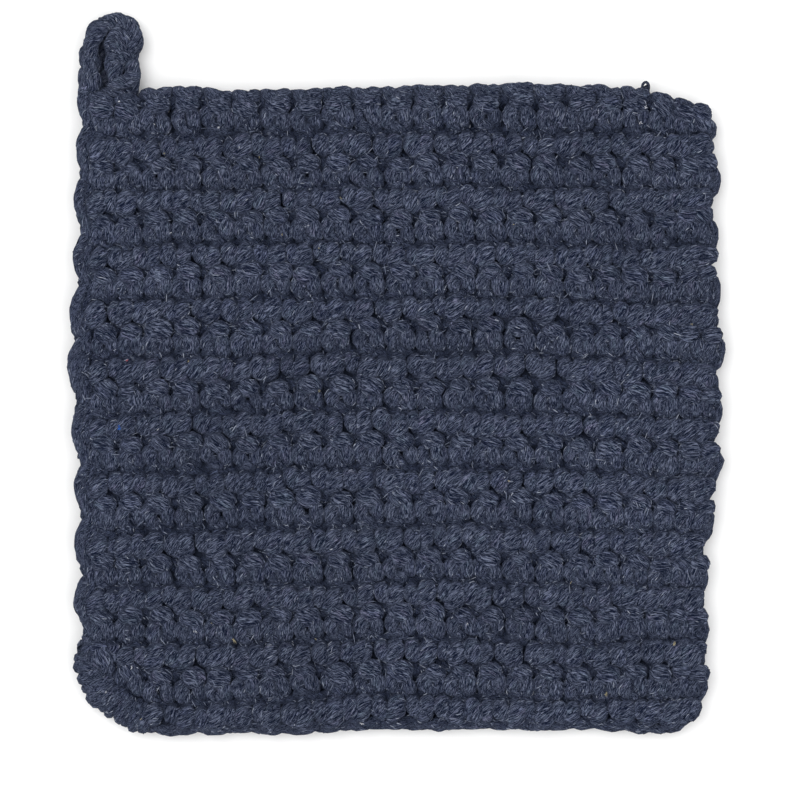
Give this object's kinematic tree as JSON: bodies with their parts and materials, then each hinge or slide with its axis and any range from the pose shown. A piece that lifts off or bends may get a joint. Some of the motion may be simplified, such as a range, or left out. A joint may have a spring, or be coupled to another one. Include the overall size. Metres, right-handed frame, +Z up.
{
  "type": "crocheted pot holder",
  "caption": "Square pot holder crocheted back and forth in thick yarn, lying flat, with ribbed bands of stitches, scalloped sides and a crocheted hanging loop at one corner.",
  "frame": {"origin": "on the surface that the pot holder lies on, under the middle of the whole object, hanging loop included", "axes": "+Z is up out of the shown face, +Y runs in the plane of the cloth towards the edge with the hanging loop, +X runs along the rows of stitches to the right, so the loop is at the -X end of the +Y edge"},
  "size_m": [0.2034, 0.2226, 0.0095],
  "materials": {
    "panel_yarn": "thick dark blue cotton yarn with a grey cast, loosely twisted from fine strands, matt, slightly fuzzy, with rare pale and bright blue flecks",
    "loop_yarn": "the same dark blue cotton yarn, worked as a chain"
  },
  "bodies": {
    "root": {"crochet_panel": "panel_yarn", "hanging_loop": "loop_yarn"}
  },
  "joints": []
}
